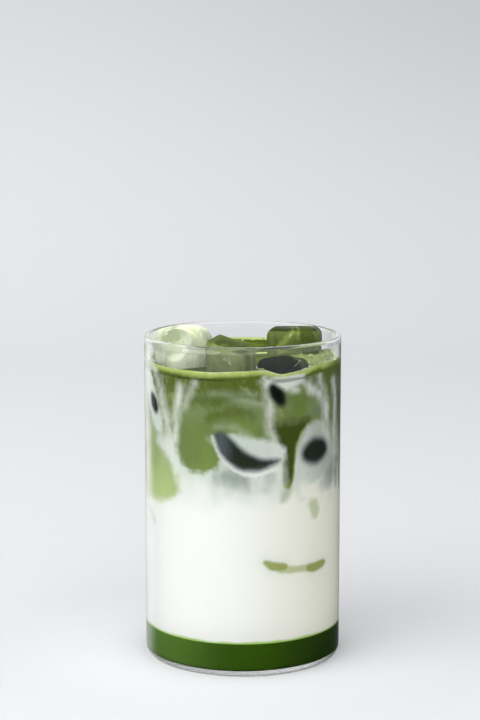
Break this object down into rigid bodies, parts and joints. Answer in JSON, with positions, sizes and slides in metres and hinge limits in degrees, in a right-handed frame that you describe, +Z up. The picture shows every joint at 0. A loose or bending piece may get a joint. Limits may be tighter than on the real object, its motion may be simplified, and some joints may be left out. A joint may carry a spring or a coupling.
{
  "type": "iced pistachio latte in a straight glass",
  "caption": "Straight clear glass of iced pistachio latte: dark green syrup at the base, white milk, green latte swirling down, pale froth on top and clear ice standing out of it.",
  "frame": {"origin": "centre of the glass's flat underside", "axes": "+Z up along the glass, -Y towards the front of the drink, +X to the right seen from the front"},
  "size_m": [0.076, 0.076, 0.1301],
  "materials": {
    "clear_glass": "clear polished glass",
    "syrup": "dark green settled syrup, seen through glass",
    "milk": "white milk, seen through glass",
    "latte": "green latte that swirls into the milk",
    "froth": "fine pale green froth",
    "ice": "clear wet ice, tinted by the drink round it"
  },
  "bodies": {
    "root": {"glass": "clear_glass", "syrup_layer": "syrup", "milk_layer": "milk", "latte_layer": "latte", "froth_layer": "froth", "ice_left": "ice", "ice_middle": "ice", "ice_right": "ice", "ice_front": "ice"}
  },
  "joints": []
}
